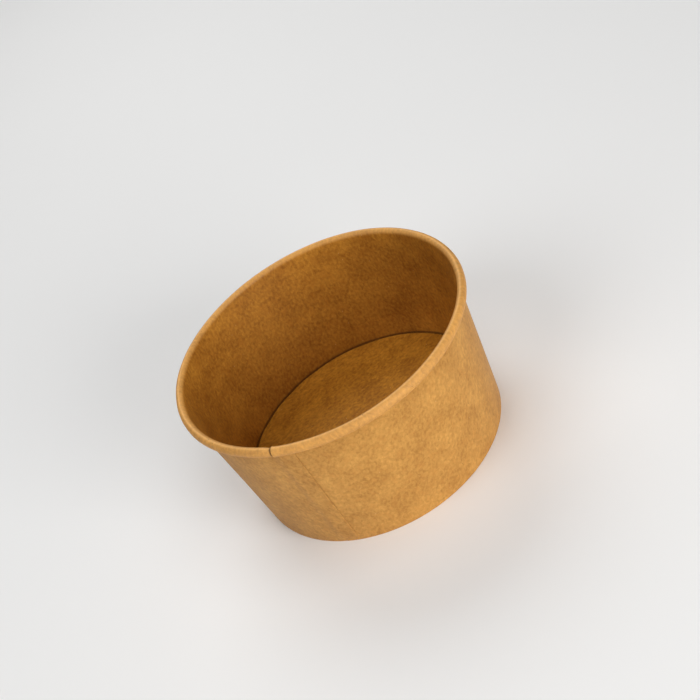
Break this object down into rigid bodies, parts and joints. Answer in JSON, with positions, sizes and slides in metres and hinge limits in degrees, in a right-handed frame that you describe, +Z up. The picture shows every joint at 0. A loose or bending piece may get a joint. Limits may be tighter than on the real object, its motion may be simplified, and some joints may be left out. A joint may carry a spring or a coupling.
{
  "type": "paper salad bowl",
  "caption": "Round brown paperboard salad bowl with a rolled rim, a slightly leaning wall with a glued side seam, and a raised floor in a folded foot.",
  "frame": {"origin": "centre of the foot, on the surface that the bowl stands on", "axes": "+Z up along the bowl's axis, out of its mouth; the side seam's inner edge is 54 degrees past -X towards -Y"},
  "size_m": [0.15, 0.15, 0.076],
  "materials": {
    "wall_board": "uncoated-looking brown kraft board outside, thin clear coating inside, matt with a slight sheen",
    "disc_board": "brown kraft board with a thin clear coating on its upper face, matt with a slight sheen"
  },
  "bodies": {
    "root": {"side_wall": "wall_board", "base_disc": "disc_board"}
  },
  "joints": []
}
